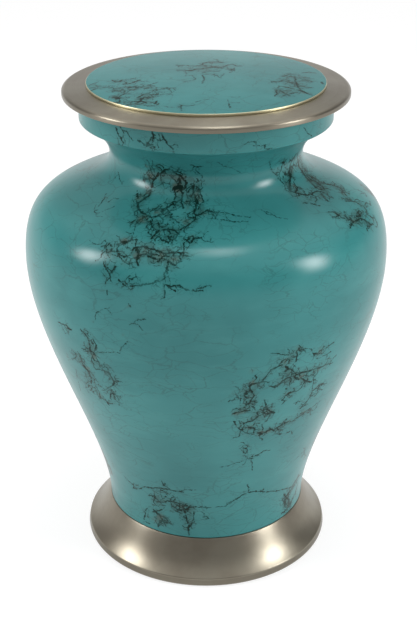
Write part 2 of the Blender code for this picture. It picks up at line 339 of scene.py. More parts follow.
BOTTOM_VEINS = {
    "left_long": (
        0.9, (133, 488), (137, 489), (145, 487), (153, 488), (161, 488), (170, 490), (177, 491), (184, 492)
    ),
    "left_start": (0.7, (130, 482), (134, 485), (133, 488)),
    "left_tick": (0.7, (162, 481), (163, 486), (165, 483)),
    "left_high": (0.9, (149, 495), (154, 496), (157, 499), (160, 501)),
    "left_high_on": (
        1.0, (161, 502), (167, 501), (173, 502), (179, 503), (185, 505), (189, 507), (196, 507)
    ),
    "left_edge": (0.8, (147, 508), (145, 511), (145, 515), (144, 519)),
    "left_edge_low": (0.9, (146, 522), (149, 523)),
    "left_knot": (2.2, (154, 510), (157, 513), (160, 516)),
    "left_knot_low": (1.7, (160, 516), (162, 520), (159, 523), (158, 526)),
    "left_knot_high": (1.3, (153, 512), (158, 511), (162, 510)),
    "left_knot_side": (1.1, (162, 516), (165, 518), (168, 521)),
    "left_knot_foot": (0.9, (162, 520), (164, 523), (167, 522)),
    "left_cell_a": (1.0, (173, 506), (177, 509), (181, 511), (185, 510), (189, 507)),
    "left_cell_b": (0.7, (175, 504), (179, 506), (183, 506), (187, 504)),
    "left_cell_c": (0.7, (171, 503), (172, 508), (176, 511), (183, 514)),
    "left_cell_d": (0.7, (179, 503), (180, 508), (178, 511)),
    "left_cell_e": (0.8, (189, 507), (188, 511), (185, 514)),
    "left_stem": (1.1, (185, 511), (186, 515), (187, 519), (188, 523)),
    "left_stem_low": (1.2, (189, 526), (188, 530), (189, 535)),
    "left_stem_beside": (0.7, (194, 512), (194, 518), (192, 524), (189, 527)),
    "left_stem_twig": (0.7, (183, 526), (186, 528), (189, 527)),
    "left_thread": (0.6, (203, 517), (207, 516), (209, 518), (206, 519)),
    "middle_thread": (0.4, (196, 507), (207, 508), (217, 507), (225, 506)),
    "right_thread": (
        0.9, (225, 506), (233, 501), (241, 496), (247, 493), (255, 491), (265, 492), (275, 491), (285, 489)
    ),
    "right_thread_on": (0.9, (285, 489), (293, 486), (297, 481), (298, 475)),
    "right_tick": (0.6, (247, 485), (249, 490), (247, 494)),
    "right_strand": (0.9, (297, 478), (294, 483), (292, 488), (289, 492), (286, 496), (282, 500)),
    "right_beside": (0.9, (298, 483), (296, 490), (294, 496), (291, 502), (290, 507)),
    "right_cell_a": (1.2, (284, 494), (287, 498), (291, 503)),
    "right_cell_b": (1.1, (282, 500), (285, 503), (289, 506), (287, 510)),
    "right_cell_c": (0.9, (290, 490), (288, 496), (285, 501), (284, 507)),
    "right_knot": (2.4, (288, 502), (290, 505)),
    "right_low": (1.2, (287, 508), (285, 511), (282, 513)),
    "high_thread": (0.5, (220, 467), (228, 466), (236, 463), (243, 461)),
}
DOME_VEINS = {
    "back_main": (
        1.1, (177, 70), (184, 70), (191, 71), (196, 69), (201, 69),
        (205, 68), (210, 67), (215, 67), (223, 68)
    ),
    "back_dark": (1.3, (201, 69), (206, 68), (212, 67)),
    "back_low": (0.8, (203, 73), (206, 72), (211, 71), (219, 71)),
    "back_high": (
        0.8, (190, 66), (196, 66), (201, 65), (204, 63), (208, 62), (213, 62), (218, 62), (223, 63)
    ),
    "back_left": (0.7, (176, 65), (182, 66), (185, 65), (189, 66)),
    "back_right": (0.8, (224, 67), (227, 65), (232, 64), (236, 66), (241, 66)),
    "back_right_low": (0.7, (227, 69), (231, 69), (235, 71), (234, 68)),
    "back_drop": (0.6, (203, 75), (204, 80), (202, 83)),
    "back_loop": (0.5, (204, 75), (210, 74), (216, 75), (220, 78), (224, 74)),
    "back_faint": (0.4, (185, 76), (192, 75), (196, 79)),
    "left_high": (0.9, (112, 80), (116, 82), (120, 81), (122, 80)),
    "left_second": (0.9, (128, 84), (132, 83), (136, 81), (140, 80)),
    "left_lens": (1.3, (128, 88), (131, 87), (135, 87), (138, 88)),
    "left_lens_low": (0.7, (128, 89), (133, 90), (138, 88)),
    "left_lens_on": (0.7, (138, 88), (144, 88), (151, 88)),
    "left_lens_high": (0.5, (142, 87), (147, 86), (151, 85)),
    "left_third": (0.8, (112, 92), (115, 90), (119, 91), (123, 89), (125, 92)),
    "left_fourth": (0.6, (113, 88), (117, 89), (122, 88)),
    "left_knot": (2.0, (116, 97), (117, 99)),
    "left_knot_arm": (0.8, (112, 98), (115, 97), (119, 97), (124, 94)),
    "left_knot_low": (0.8, (114, 102), (117, 103), (120, 102), (119, 97)),
    "left_arc": (0.8, (126, 105), (130, 105), (134, 104), (138, 103), (140, 101), (141, 98)),
    "left_cluster_a": (0.9, (138, 98), (141, 96), (144, 94), (149, 93)),
    "left_cluster_knot": (1.6, (145, 97), (148, 98)),
    "left_cluster_b": (0.9, (141, 99), (145, 97), (150, 97), (153, 97)),
    "left_cluster_c": (0.6, (138, 102), (142, 101), (146, 103)),
    "left_cluster_d": (0.7, (144, 105), (148, 106), (153, 106)),
    "left_tick": (1.1, (155, 104), (157, 101)),
    "left_cell": (0.5, (152, 91), (156, 89), (159, 92), (158, 95), (154, 94)),
    "far_left_a": (0.8, (91, 91), (95, 89), (98, 88)),
    "far_left_b": (0.6, (89, 86), (92, 84), (98, 82)),
    "far_left_c": (0.6, (90, 88), (96, 87), (103, 86)),
    "level_a": (0.4, (103, 88), (108, 88), (113, 88)),
    "level_b": (0.4, (163, 88), (170, 88), (176, 88)),
    "level_c": (0.4, (160, 95), (167, 94), (173, 95)),
    "right_high": (1.0, (272, 81), (277, 82), (282, 81), (288, 82), (293, 83)),
    "right_second": (1.2, (279, 86), (285, 87), (290, 88), (293, 89)),
    "right_third": (1.0, (275, 90), (280, 90), (284, 93), (286, 94), (289, 95)),
    "right_low": (0.9, (283, 96), (288, 94), (294, 93), (299, 92)),
    "right_side_a": (1.3, (295, 83), (298, 84)),
    "right_side_b": (0.8, (297, 84), (301, 86), (306, 87), (312, 88)),
    "right_side_c": (1.3, (298, 90), (302, 91), (306, 93), (311, 95)),
    "right_side_d": (1.0, (294, 78), (300, 78), (304, 80), (310, 81), (312, 82)),
    "right_side_e": (0.5, (297, 81), (304, 81)),
    "right_top": (0.7, (280, 77), (285, 76), (289, 74), (295, 74)),
    "right_top_low": (0.6, (288, 77), (292, 76), (296, 77)),
    "right_top_end": (0.5, (302, 73), (309, 72), (316, 73)),
    "right_stem": (0.7, (295, 76), (296, 84), (299, 89)),
    "right_left": (0.6, (276, 90), (277, 94), (275, 96)),
    "right_dot": (1.0, (322, 82), (323, 84)),
    "front_left": (0.5, (181, 111), (181, 105), (187, 106), (194, 105)),
    "front_right": (0.4, (228, 100), (230, 108)),
    "front_mid": (0.4, (195, 102), (202, 100), (209, 99)),
    "front_level": (0.4, (231, 97), (240, 97)),
}

# Smudges of stain as seen in the photograph: column and row, radius in pixels, strength
UPPER_LEFT_SMUDGES = (
    (150, 176, 4, 0.8), (147, 166, 3, 0.6), (178, 187, 6, 1.0),
    (182, 178, 4, 0.7), (196, 196, 5, 0.6), (199, 200, 4, 0.6),
    (143, 219, 6, 0.7), (139, 198, 5, 0.5), (148, 192, 4, 0.5),
    (187, 222, 5, 0.6), (192, 237, 4, 0.5), (137, 256, 4, 0.7),
    (145, 250, 5, 0.5), (160, 255, 7, 0.6), (174, 260, 5, 0.6),
    (124, 241, 4, 0.8), (110, 250, 6, 0.4), (160, 232, 4, 0.3),
    (153, 237, 4, 0.4), (187, 202, 3, 0.5), (186, 208, 6, 0.3),
    (204, 213, 5, 0.4), (157, 213, 4, 0.5), (176, 180, 5, 0.5),
    (105, 198, 5, 0.3), (132, 223, 3, 0.4), (125, 262, 6, 0.25), (108, 272, 3, 0.35), (180, 220, 4, 0.4),
)
LOWER_RIGHT_SMUDGES = (
    (253, 383, 4, 0.9), (252, 371, 5, 0.35), (261, 433, 4, 0.9),
    (269, 431, 4, 0.6), (236, 413, 4, 0.7), (243, 411, 5, 0.5),
    (250, 427, 4, 0.6), (240, 426, 6, 0.35), (269, 412, 5, 0.5),
    (301, 377, 4, 0.8), (286, 361, 6, 0.5), (298, 349, 5, 0.5),
    (320, 352, 6, 0.5), (318, 370, 5, 0.4), (325, 367, 4, 0.4),
    (279, 384, 4, 0.5), (288, 394, 4, 0.5), (303, 413, 4, 0.5),
    (289, 421, 4, 0.5), (246, 436, 5, 0.3), (316, 388, 4, 0.3),
    (253, 396, 5, 0.3), (245, 418, 6, 0.3), (281, 378, 5, 0.3),
)
LOWER_LEFT_SMUDGES = (
    (68, 328, 4, 0.7), (68, 356, 3, 0.7), (76, 355, 5, 0.3),
    (94, 357, 4, 0.8), (95, 347, 5, 0.3), (88, 369, 4, 0.7),
    (84, 365, 3, 0.4), (90, 375, 4, 0.3), (100, 396, 3, 0.9),
    (114, 397, 4, 0.4), (113, 381, 4, 0.35), (92, 322, 3, 0.3),
    (77, 376, 4, 0.3), (123, 335, 3, 0.3), (129, 306, 2, 0.4),
    (123, 300, 3, 0.2), (91, 388, 5, 0.3), (103, 352, 8, 0.15),
)
BOTTOM_SMUDGES = (
    (160, 517, 4, 0.8), (155, 520, 6, 0.4), (186, 528, 4, 0.4),
    (182, 507, 5, 0.35), (165, 501, 4, 0.3), (147, 516, 3, 0.4),
    (288, 496, 5, 0.5), (289, 504, 4, 0.8), (294, 486, 4, 0.4),
)
COLLAR_SMUDGES = ((152, 142, 4, 0.5), (118, 133, 3, 0.4), (304, 132, 3, 0.5), (160, 138, 4, 0.3))
DOME_SMUDGES = (
    (117, 98, 4, 0.8), (132, 89, 6, 0.35), (146, 97, 5, 0.4),
    (119, 90, 6, 0.25), (93, 89, 5, 0.3), (206, 67, 10, 0.25),
    (232, 67, 6, 0.25), (286, 93, 5, 0.4), (303, 86, 5, 0.35),
    (304, 93, 4, 0.4), (296, 79, 6, 0.3), (180, 67, 6, 0.15),
)
RIGHT_SHOULDER_SMUDGES = (
    (300, 165, 4, 0.5), (309, 180, 6, 0.5), (320, 188, 5, 0.4),
    (295, 187, 4, 0.6), (343, 193, 5, 0.5), (338, 215, 4, 0.4),
    (353, 221, 5, 0.5), (359, 213, 4, 0.5), (373, 219, 4, 0.4), (325, 197, 4, 0.3), (292, 170, 4, 0.4),
)

VESSEL_VEINS = (
    UPPER_LEFT_VEINS, RIGHT_SHOULDER_VEINS, COLLAR_VEINS, LOWER_RIGHT_VEINS, LOWER_LEFT_VEINS, BOTTOM_VEINS,
)
VESSEL_SMUDGES = (
    UPPER_LEFT_SMUDGES, RIGHT_SHOULDER_SMUDGES, COLLAR_SMUDGES, LOWER_RIGHT_SMUDGES, LOWER_LEFT_SMUDGES,
    BOTTOM_SMUDGES,
)


def size(name, default, description):
    """A length that a user can change."""
    return bpy.props.FloatProperty(
        name=name, description=description, default=default, min=0.0, precision=5, unit="LENGTH",
        subtype="DISTANCE"
    )


def slope(name, default, description):
    """An angle that a user can change, with its default in degrees."""
    return bpy.props.FloatProperty(
        name=name, description=description, default=math.radians(default), unit="ROTATION", subtype="ANGLE"
    )


def factor(name, default, description, most=1.0):
    """A plain factor that a user can change."""
    return bpy.props.FloatProperty(name=name, description=description, default=default, min=0.0, max=most)


def paint(name, default, description):
    """A colour that a user can change."""
    return bpy.props.FloatVectorProperty(
        name=name, description=description, default=default, size=3, min=0.0, max=1.0, subtype="COLOR"
    )


class UrnShape(bpy.types.PropertyGroup):
    """Sizes of the turned outlines that the frame's boxes don't give."""

    sides: bpy.props.IntProperty(name="Sides", description="Faces round a turned piece", default=320, min=24)
    joint_radius: size("Joint radius", 0.0525, "Radius where the vessel meets the foot")
    lip_height: size("Lip height", 0.0046, "Height of the foot's upright lip")
    lip_draft: size("Lip draft", 0.0006, "How far the lip leans in at its top")
    lip_round: size("Lip rounding", 0.0018, "Rounding of the foot's lower edge")
    foot_wall: size("Foot wall", 0.0022, "Thickness of the foot's skirt")
    flare_low: slope("Lower flare slope", 40, "Slope of the foot's flare above its lip")
    flare_low_handle: size("Lower flare handle", 0.0080, "How far the flare follows its lower slope")
    flare_high: slope("Upper flare slope", 58, "Slope of the foot's flare below the vessel")
    flare_high_handle: size("Upper flare handle", 0.0070, "How far the flare follows its upper slope")
    ring_width: size("Ring width", 0.0050, "Width of the lip that the urn stands on")
    flange_width: size("Flange width", 0.0100, "Width of the flange under the vessel")
    base_handle: size("Base handle", 0.0375, "How far the body rises steeply from its base")
    belly_rise: size("Belly rise", 0.1416, "Height of the belly above the vessel's base")
    belly_under: size("Lower belly handle", 0.0424, "How far the belly's curve reaches down")
    belly_over: size("Upper belly handle", 0.0227, "How far the belly's curve reaches up")
    shoulder_radius: size("Shoulder radius", 0.0750, "Radius where the shoulder turns into the neck")
    shoulder_rise: size("Shoulder rise", 0.0325, "Height of the shoulder above the belly")
    shoulder_slope: slope("Shoulder slope", 26, "Slope of the shoulder where it turns into the neck")
    shoulder_out: size("Outer shoulder handle", 0.0100, "How far the shoulder's slope reaches outwards")
    shoulder_in: size("Inner shoulder handle", 0.0140, "How far the shoulder's slope reaches inwards")
    neck_radius: size("Neck radius", 0.0474, "Radius of the narrowest part of the neck")
    neck_rise: size("Neck rise", 0.0199, "Height of the neck above the shoulder")
    neck_handle: size("Neck handle", 0.0105, "How far the neck reaches down towards the shoulder")
    cove_handle: size("Cove handle", 0.0081, "How far the neck reaches up towards the collar")
    cove_rise: size("Cove rise", 0.0173, "Height of the collar's lower edge above the neck")
    cove_slope: slope("Cove slope", 20, "Slope of the collar's underside at its edge")
    cove_end: size("Collar handle", 0.0051, "How far the collar's underside reaches inwards")
    collar_radius: size("Collar radius", 0.0616, "Radius of the upright collar")
    collar_edge: size("Collar edge", 0.0006, "Rounding of the collar's lower edge")
    wall: size("Wall", 0.0020, "Thickness of the vessel's wall")
    floor: size("Floor", 0.0025, "Thickness of the vessel's floor")
    overhang: size("Overhang thickness", 0.0030, "Thickness of the lid plate at its edge")
    plate: size("Plate thickness", 0.0022, "Thickness of the lid plate in its middle")
    plate_edge: size("Plate edge", 0.0016, "Width of the lid plate's rounded edge")
    plate_drop: size("Plate drop", 0.0014, "Height of the lid plate's rounded edge")
    plug_gap: size("Plug gap", 0.0006, "Gap between the lid's ring and the mouth")
    plug_wall: size("Plug wall", 0.0018, "Thickness of the lid's ring")
    disc_edge: size("Disc edge", 0.0011, "Height of the disc's upright edge")
    disc_draft: size("Disc draft", 0.0001, "How far the disc's edge leans in at its underside")
    soft_edge: size("Soft edge", 0.0003, "Rounding of the small edges")
    disc_round: size("Disc rounding", 0.0006, "Rounding of the disc's upper edge")
    base_edge: size("Base rounding", 0.0009, "Rounding of the vessel's lower edge")


class UrnFinish(bpy.types.PropertyGroup):
    """Colours of the enamel and the metals."""

    turquoise: paint("Turquoise", (0.037, 0.207, 0.207), "The enamel's main colour")
    deep: paint("Deep turquoise", (0.027, 0.169, 0.171), "The enamel's darker clouds")
    pale: paint("Pale turquoise", (0.053, 0.242, 0.235), "The enamel's lighter clouds")
    smudge: paint("Smudge", (0.062, 0.092, 0.072), "The brown spots on the thickest veins")
    vein: paint("Vein", (0.002, 0.015, 0.011), "The middle of a dark vein")
    smoke: paint("Smoke", (0.020, 0.075, 0.068), "The stain beside a vein")
    pewter: paint("Pewter", (0.350, 0.322, 0.256), "The satin pewter")
    pewter_dark: paint("Dark pewter", (0.300, 0.267, 0.210), "The pewter's duller patches")
    # Painted shade: a darker pewter laid on the upright edges of the foot's lip and the lid plate, standing
    # for shade there
    pewter_edge_shade: paint("Dull pewter", (0.205, 0.185, 0.145), "The pewter of the upright edges")
    brass: paint("Brass", (0.560, 0.520, 0.350), "The disc's bare edge")
    gloss: factor("Gloss coat", 0.33, "Weight of the clear coat on the enamel")
    sheen: factor("Enamel sheen", 0.06, "Reflection of the enamel below the coat")


class UrnStudio(bpy.types.PropertyGroup):
    """Camera, floor and lights."""

    camera_distance: size("Camera distance", 0.6039, "From the urn's axis to the camera, level")
    camera_height: size("Camera height", 0.4132, "Height of the camera above the floor")
    camera_tilt: slope("Camera tilt", 25.64, "How far the camera looks down")
    focal_pixels: factor("Focal length", 1285.0, "Focal length in the photograph's pixels", most=10000.0)
    floor_colour: paint("Floor", (0.30, 0.30, 0.30), "The floor's colour")
    left_light: factor("Left light", 20.0, "Brightness of the tall light on the left", most=100.0)
    right_light: factor("Right light", 21.0, "Brightness of the tall light on the right", most=100.0)
    top_light: factor("Top light", 7.5, "Brightness of the light above", most=100.0)
    floor_glow: factor("Floor glow", 0.76, "The floor's own light, which evens out its white")


class Wire:
    """One output of a node, for use in expressions."""

    def __init__(self, nodes, socket):
        self.nodes = nodes
        self.socket = socket

    def maths(self, operation, *values, clamp=False):
        """The result of a Math node on the values."""
        settings = {"operation": operation, "use_clamp": clamp}
        return self.nodes.add("ShaderNodeMath", settings, *values)

    def __add__(self, other):
        return self.maths("ADD", self, other)

    __radd__ = __add__

    def __sub__(self, other):
        return self.maths("SUBTRACT", self, other)

    def __rsub__(self, other):
        return self.maths("SUBTRACT", other, self)

    def __mul__(self, other):
        return self.maths("MULTIPLY", self, other)

    __rmul__ = __mul__

    def __truediv__(self, other):
        return self.maths("DIVIDE", self, other)

    def __rtruediv__(self, other):
        return self.maths("DIVIDE", other, self)


class Nodes:
    """A node tree, of shading or of geometry, built by calls."""

    def __init__(self, tree):
        self.tree = tree
        tree.nodes.clear()

    def add(self, kind, settings=None, *values, out=0, **named):
        """A node with its settings, then its inputs by order or by name, as one of its outputs."""
        node = self.tree.nodes.new(kind)
        for key, value in (settings or {}).items():
            setattr(node, key, value)
        for key, value in [*enumerate(values), *named.items()]:
            socket = node.inputs[key if isinstance(key, int) else key.replace("_", " ")]
            if isinstance(value, Wire):
                self.tree.links.new(value.socket, socket)
            elif value is not None:
                socket.default_value = value
        return Wire(self, node.outputs[out]) if len(node.outputs) else None

    def mix(self, factor, first, second):
        """A colour between two others."""
        node = self.tree.nodes.new("ShaderNodeMix")
        node.data_type = "RGBA"
        node.clamp_factor = True
        for socket, value in ((node.inputs[0], factor), (node.inputs[6], first), (node.inputs[7], second)):
            if isinstance(value, Wire):
                self.tree.links.new(value.socket, socket)
            elif hasattr(value, "__len__"):
                socket.default_value = (*value[:3], 1.0)
            else:
                socket.default_value = value
        return Wire(self, node.outputs[2])

    def step(self, value, start, end, low=0.0, high=1.0):
        """A smooth step between two values of a number."""
        settings = {"interpolation_type": "SMOOTHSTEP"}
        return self.add("ShaderNodeMapRange", settings, value, start, end, low, high)

    def vector(self, operation, *values):
        """Vector maths with a vector as its result."""
        return self.add("ShaderNodeVectorMath", {"operation": operation}, *values)

    def dot(self, first, second):
        """The dot product of two vectors."""
        return self.add("ShaderNodeVectorMath", {"operation": "DOT_PRODUCT"}, first, second, out="Value")

    def length(self, vector):
        """The length of a vector."""
        return self.add("ShaderNodeVectorMath", {"operation": "LENGTH"}, vector, out="Value")


def toward(point, angle, distance):
    """The point at a distance from another, at an angle above the outward direction."""
    return (point[0] + distance * math.cos(angle), point[1] + distance * math.sin(angle))


def bezier(start, start_handle, end_handle, end, pieces):
    """Points along a cubic curve, both ends included."""
    points = []
    for i in range(pieces + 1):
        t = i / pieces
        weights = ((1 - t) ** 3, 3 * (1 - t) ** 2 * t, 3 * (1 - t) * t**2, t**3)
        corners = (start, start_handle, end_handle, end)
        points.append(tuple(sum(w * corner[axis] for w, corner in zip(weights, corners)) for axis in (0, 1)))
    return points


def arc(centre, radius, first, last, pieces):
    """Points along an arc between two angles above the outward direction, both ends included."""
    return [toward(centre, first + (last - first) * i / pieces, radius) for i in range(pieces + 1)]


def inset(outline, distance):
    """The outline moved towards its left, the metal side of one that runs up the outside."""
    moved = []
    for i, (radius, height) in enumerate(outline):
        before = outline[max(i - 1, 0)]
        after = outline[min(i + 1, len(outline) - 1)]
        length = math.dist(before, after)
        along = ((after[0] - before[0]) / length, (after[1] - before[1]) / length)
        moved.append((radius - distance * along[1], height + distance * along[0]))
    return moved


def soften(outline, corners, radius, pieces=5):
    """The outline with some corners rounded, and a close point on each side that keeps the flats flat."""
    softened = []
    for i, point in enumerate(outline):
        if i not in corners:
            softened.append(point)
            continue
        here = Vector(point)
        back = Vector(outline[i - 1]) - here
        on = Vector(outline[(i + 1) % len(outline)]) - here
        reach = min(radius, back.length * 0.4, on.length * 0.4)
        first, last = here + back.normalized() * reach, here + on.normalized() * reach
        hold_first = here + back.normalized() * min(reach * 1.8, back.length * 0.6)
        hold_last = here + on.normalized() * min(reach * 1.8, on.length * 0.6)
        softened.append(tuple(hold_first))
        for k in range(pieces + 1):
            t = k / pieces
            softened.append(tuple(first * (1 - t) ** 2 + here * 2 * t * (1 - t) + last * t**2))
        softened.append(tuple(hold_last))
    return softened


def turning_tree():
    """The node tree that sweeps an outline round the vertical axis into a closed skin."""
    tree = bpy.data.node_groups.new("Turned piece", "GeometryNodeTree")
    nodes = Nodes(tree)
    interface = tree.interface
    interface.new_socket("Outline", in_out="INPUT", socket_type="NodeSocketGeometry")
    interface.new_socket("Sides", in_out="INPUT", socket_type="NodeSocketInt")
    interface.new_socket("Material", in_out="INPUT", socket_type="NodeSocketMaterial")
    interface.new_socket("Piece", in_out="OUTPUT", socket_type="NodeSocketGeometry")
    start = tree.nodes.new("NodeGroupInput")
    outline, sides, material = (Wire(nodes, start.outputs[i]) for i in range(3))

    rows = nodes.add("GeometryNodeAttributeDomainSize", {"component": "MESH"}, outline)
    grid = nodes.add("GeometryNodeMeshGrid", None, Vertices_X=sides + 1, Vertices_Y=rows)
    index = nodes.add("GeometryNodeInputIndex")
    row = index.maths("MODULO", index, rows)
    column = index.maths("FLOOR", (index + 0.5) / rows)
    place = nodes.add("GeometryNodeInputPosition")
    sampling = {"data_type": "FLOAT_VECTOR", "domain": "POINT"}
    point = nodes.add("GeometryNodeSampleIndex", sampling, outline, Value=place, Index=row)
    turned = nodes.add(
        "ShaderNodeVectorRotate", {"rotation_type": "Z_AXIS"}, Vector=point, Angle=column * math.tau / sides
    )
    skin = nodes.add("GeometryNodeSetPosition", None, grid, Position=turned)
    closed = nodes.add("GeometryNodeMergeByDistance", None, skin, Distance=0.000005)
    smooth = nodes.add("GeometryNodeSetShadeSmooth", None, closed)
    solid = nodes.add("GeometryNodeRealizeInstances", None, smooth)
    finished = nodes.add("GeometryNodeSetMaterial", None, solid, Material=material)
    end = tree.nodes.new("NodeGroupOutput")
    tree.links.new(finished.socket, end.inputs[0])
    return tree


def turn(name, outline, material, node, veins=None, smudges=None):
    """A finished turned piece that stands for a node of the frame."""
    sides = bpy.context.scene.urn_shape.sides
    mesh = bpy.data.meshes.new(name + "_outline")
    mesh.from_pydata([(r, 0.0, z) for r, z in outline], [(i, i + 1) for i in range(len(outline) - 1)], [])
    piece = bpy.data.objects.new(name, mesh)
    bpy.context.scene.collection.objects.link(piece)
    tree = bpy.data.node_groups.get("Turned piece") or turning_tree()
    modifier = piece.modifiers.new("Turn", "NODES")
    modifier.node_group = tree
    inputs = {item.name: item.identifier for item in tree.interface.items_tree if item.in_out == "INPUT"}
    modifier[inputs["Sides"]] = sides
    modifier[inputs["Material"]] = material
    solid = bpy.data.meshes.new_from_object(piece.evaluated_get(bpy.context.evaluated_depsgraph_get()))
    piece.modifiers.clear()
    piece.data = solid
    bpy.data.meshes.remove(mesh)
    solid.name = name
    if veins:
        skin = BVHTree.FromPolygons([v.co for v in solid.vertices], [p.vertices for p in solid.polygons])
        mark_veins(solid, sprouted(skin, veins(skin), 11))
        mark_smudges(solid, smudges(skin))
    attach(piece, "root")
    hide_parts(node)
    return piece


def pixel_ray(column, row):
    """The camera's place, and the direction in which it sees a pixel of the photograph."""
    studio = bpy.context.scene.urn_studio
    ahead = Vector((0.0, math.cos(studio.camera_tilt), -math.sin(studio.camera_tilt)))
    above = Vector((0.0, math.sin(studio.camera_tilt), math.cos(studio.camera_tilt)))
    across = Vector((column - AXIS_COLUMN, 0.0, 0.0))
    way = ahead * studio.focal_pixels + across - above * (row - PHOTO_HEIGHT / 2)
    return Vector((0.0, -studio.camera_distance, studio.camera_height)), way.normalized()


def traced(skin, veins, swell=1.0):
    """Veins laid on a skin where the photograph shows them, as straight bits of (start, end, width)."""
    bits = []
    for width, *points in veins.values():
        hits = [skin.ray_cast(*pixel_ray(*point))[0] for point in points]
        pairs = [(a, b) for a, b in zip(hits, hits[1:]) if a and b and (a - b).length < LONGEST_BIT]
        bits += [(a, b, width * swell) for a, b in pairs]
    return bits


def smudged(skin, smudges):
    """Smudges laid on a skin where the photograph shows them, as (centre, radius, strength)."""
    focal_pixels = bpy.context.scene.urn_studio.focal_pixels
    spots = []
    for column, row, radius, strength in smudges:
        place, _, _, distance = skin.ray_cast(*pixel_ray(column, row))
        if place:
            spots.append((place, radius * distance / focal_pixels, strength))
    return spots


def point_tree(points):
    """A tree that finds the points near a place."""
    tree = KDTree(len(points))
    for i, point in enumerate(points):
        tree.insert(point, i)
    tree.balance()
    return tree


def mark_smudges(mesh, spots):
    """Tells each corner how deep in a smudge it lies."""
    tree = point_tree([vertex.co for vertex in mesh.vertices])
    depth = np.zeros(len(mesh.vertices))
    for centre, radius, strength in spots:
        for _, i, gap in tree.find_range(centre, radius * 2.5):
            depth[i] = max(depth[i], strength * math.exp(-((gap / radius) ** 2)))
    depth *= outer(vectors(mesh.vertices, "co"), vectors(mesh.vertex_normals, "vector"))
    put_attribute(mesh, "smudge", "FLOAT", "POINT", depth)


def wandering(outline, patches, seed):
    """Veins of the same kind for the parts of a turned skin that the photograph doesn't show."""
    chance = random.Random(seed)
    lengths = np.cumsum([0.0, *(math.dist(a, b) for a, b in zip(outline, outline[1:]))])
    radii, heights = zip(*outline)
    bits = []
    for azimuth, share, spread, strands in patches:
        for _ in range(strands):
            bearing = math.radians(azimuth) + chance.gauss(0.0, 0.45) * spread / 60.0
            along = lengths[-1] * share + chance.gauss(0.0, 0.45) * spread / 1000.0
            heading = chance.uniform(0.0, math.tau)
            bend = chance.uniform(-0.22, 0.22)
            width = chance.choice((0.6, 0.8, 1.0, 1.2, 1.5))
            before = None
            for _ in range(chance.randint(5, 14)):
                radius = max(float(np.interp(along, lengths, radii)), 0.003)
                height = float(np.interp(along, lengths, heights))
                here = Vector((radius * math.sin(bearing), -radius * math.cos(bearing), height))
                if before is not None and 0.0 < along < lengths[-1]:
                    bits.append((before, here, width * chance.uniform(0.7, 1.2)))
                before = here
                stride = chance.uniform(0.0014, 0.0032)
                heading += bend + chance.gauss(0.0, 0.5)
                bearing += stride * math.cos(heading) / radius
                along += stride * math.sin(heading)
            if chance.random() < 0.35:
                bits.append((before, before + Vector((0.0, 0.0, 0.0006)), chance.uniform(1.8, 2.8)))
    return bits


def sprouted(skin, bits, seed):
    """The bits of vein with short thin side shoots."""
    chance = random.Random(seed)
    shoots = []
    for start, end, width in bits:
        if chance.random() > SPROUT_CHANCE or (end - start).length < 0.0005:
            continue
        here = start.lerp(end, chance.random())
        way = (end - start).normalized()
        angle = chance.choice((-1.0, 1.0)) * chance.uniform(0.6, 1.7)
        for _ in range(chance.randint(2, 5)):
            normal = skin.find_nearest(here)[1]
            way = Quaternion(normal, angle) @ way
            there = skin.find_nearest(here + way * chance.uniform(0.0010, 0.0024))[0]
            shoots.append((here, there, min(width, 1.0) * chance.uniform(0.45, 0.8)))
            here = there
            angle = chance.gauss(0.0, 0.7)
    return bits + shoots


def gaps_to(points, start, end):
    """The distances from points to a straight bit."""
    along = end - start
    share = np.clip((points - start) @ along / max(along @ along, 1e-12), 0.0, 1.0)
    return np.linalg.norm(points - start - share[:, None] * along, axis=1)


def near_bits(points, bits, reach):
    """The pairs of a point and a bit of vein that lie within reach of each other, in millimetres."""
    tree = point_tree(points)
    pairs = []
    for k, (start, end, width) in enumerate(bits):
        found = [i for _, i, _ in tree.find_range((start + end) / 2, (end - start).length / 2 + reach)]
        if found:
            gaps = gaps_to(points[found], start, end) - width / 2
            pairs += [(i, gap, k) for i, gap in zip(found, gaps) if gap < reach]
    return pairs


def outer(points, normals):
    """Which points of a turned piece face away from its axis, and so aren't inside it."""
    return (points[:, :2] * normals[:, :2]).sum(axis=1) > -1e-6


def vectors(items, field):
    """One vector of each vertex or face of a mesh, as an array."""
    values = np.empty(len(items) * 3)
    items.foreach_get(field, values)
    return values.reshape(-1, 3)


def put_attribute(mesh, name, kind, domain, values):
    """A named attribute of a mesh, filled from an array."""
    field = {"FLOAT": "value", "FLOAT_VECTOR": "vector"}[kind]
    mesh.attributes.new(name, kind, domain).data.foreach_set(field, np.ravel(values).astype(np.float32))


